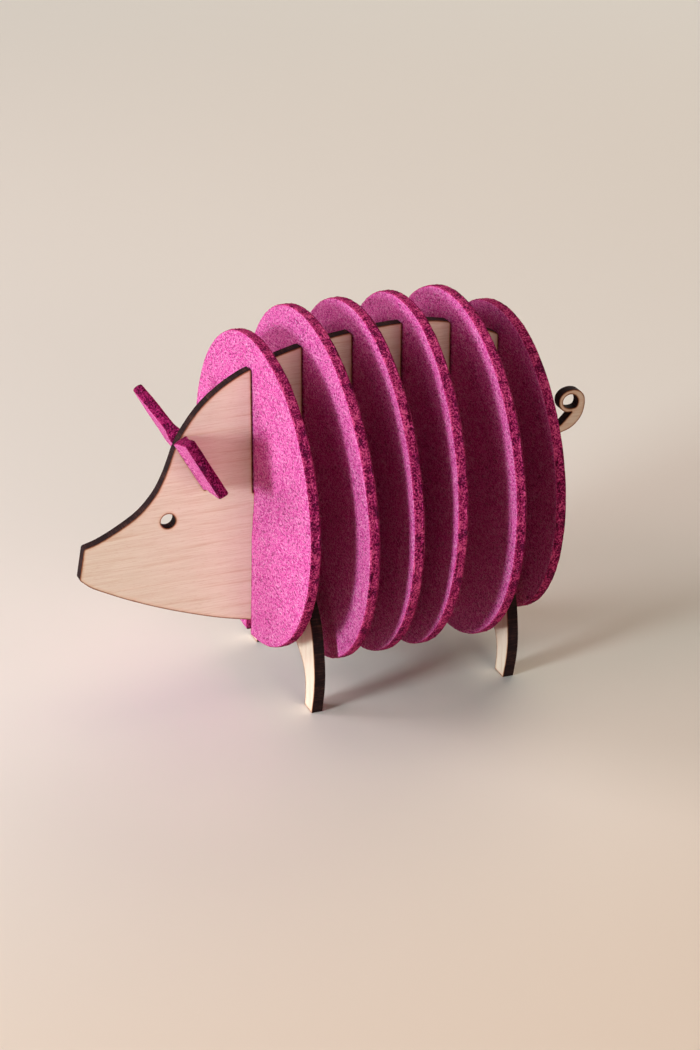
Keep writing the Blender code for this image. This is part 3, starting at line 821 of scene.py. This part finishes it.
# Board painted pale and matt, which gives a plain face with hardly a sheen and no grain.
def paintedBoard(name, look):
    material, add = newMaterial(name)
    place = add("TexCoord", {}).outputs["Object"]
    rays = seenRays(add)
    across = add("SeparateXYZ", {0: place}).outputs[1]
    # painted warm light: the floor turns warmer toward the front
    paintedWarmth = add("MapRange", {"interpolation_type": "SMOOTHSTEP", 0: across, 1: look["coolFrom"],
                                2: look["warmFrom"]})
    seen = add("Mix", {"data_type": "RGBA", 0: paintedWarmth, 6: look["cool"], 7: look["warm"]})
    colour = add("Mix", {"data_type": "RGBA", 0: rays, 6: look["reflected"], 7: seen})
    shader = add("BsdfPrincipled", {"Base Color": colour, "Roughness": look["rough"],
                                    "Specular IOR Level": look["gloss"]})
    away = add("VectorMath", {"operation": "LENGTH", 0: place})
    fade = add("MapRange", {"interpolation_type": "SMOOTHSTEP", 0: away, 1: look["fadeStart"],
                            2: look["fadeEnd"]})
    fade = add("Math", {"operation": "MULTIPLY", 0: fade, 1: rays})
    farTone = add("Emission", {0: look["far"], 1: 1.0})
    add("OutputMaterial", {0: add("MixShader", {0: fade, 1: shader, 2: farTone})})
    return material


bpy.ops.mesh.primitive_plane_add(size=floorLook["size"])
floor = bpy.context.object
floor.name = "floor"
floor.data.materials.append(paintedBoard("pale painted board", floorLook))

# Each lamp: direction to it, distance, width, the brightness that it gives a white card facing it, colour
lamps = {
    "window": ((-0.93, -0.30, 0.21), 1.3, 0.28, 0.88, "#F4FDFF"),
    "far window": ((-0.80, 0.44, 0.40), 1.5, 0.60, 0.52, "#FFF2F6"),
    "skylight": ((-0.72, -0.08, 0.62), 1.6, 0.80, 0.26, "#FFD9DA"),
    "front": ((0.10, -1.0, 0.22), 1.6, 0.50, 0.26, "#FFF1E2"),
    "ceiling": ((0.20, 0.15, 1.0), 1.7, 0.90, 0.18, "#FFDFC2"),
    "far wall": ((0.62, 0.66, 0.60), 1.8, 1.20, 0.32, "#FFEEDD"),
}
lampAim = Vector((0.0, 0.0, 0.05))
for name, (direction, distance, width, level, colour) in lamps.items():
    light = bpy.data.lights.new(name, "AREA")
    light.color = hexColour(colour)[:3]
    light.shape = "SQUARE"
    light.size = width
    light.energy = level * math.pi ** 2 * distance ** 2
    lamp = newPiece(name, light)
    toLamp = Vector(direction).normalized()
    lamp.location = lampAim + toLamp * distance
    lamp.rotation_euler = toLamp.to_track_quat("Z", "Y").to_euler()

skyLook = {"room": "#F4E2D2", "level": 0.03, "seen": "#E9E4DE"}
world = bpy.data.worlds.new("room")
bpy.context.scene.world = world
world.use_nodes = True
world.node_tree.nodes.clear()
addSky = partial(addNode, world.node_tree)
roomLight = addSky("Background", {0: skyLook["room"], 1: skyLook["level"]})
backdrop = addSky("Background", {0: skyLook["seen"], 1: 1.0})
addSky("OutputWorld", {0: addSky("MixShader", {0: seenRays(addSky), 1: roomLight, 2: backdrop})})

cameraView = {"azimuth": -21.6, "elevation": 25.06, "roll": 0.3, "distance": 0.7103,
              "target": (0.00397, 0.0, 0.04346), "lens": 85.75, "sensor": 36.0, "nearest": 0.01}
camera = newPiece("camera", bpy.data.cameras.new("camera"))
camera.data.lens = cameraView["lens"]
camera.data.sensor_width = cameraView["sensor"]
camera.data.clip_start = cameraView["nearest"]
azimuth, elevation, roll = (math.radians(cameraView[k]) for k in ("azimuth", "elevation", "roll"))
level = math.cos(elevation)
back = Vector((math.sin(azimuth) * level, -math.cos(azimuth) * level, math.sin(elevation)))
right = Vector((0, 0, 1)).cross(back).normalized()
up = back.cross(right)
turnedRight = right * math.cos(roll) + up * math.sin(roll)
turnedUp = up * math.cos(roll) - right * math.sin(roll)
turned = Matrix((turnedRight, turnedUp, back)).transposed().to_4x4()
stand = Vector(cameraView["target"]) + back * cameraView["distance"]
camera.matrix_world = Matrix.Translation(stand) @ turned
bpy.context.scene.camera = camera
bpy.context.scene.view_settings.view_transform = "Standard"
print("floor, lamps and camera done")
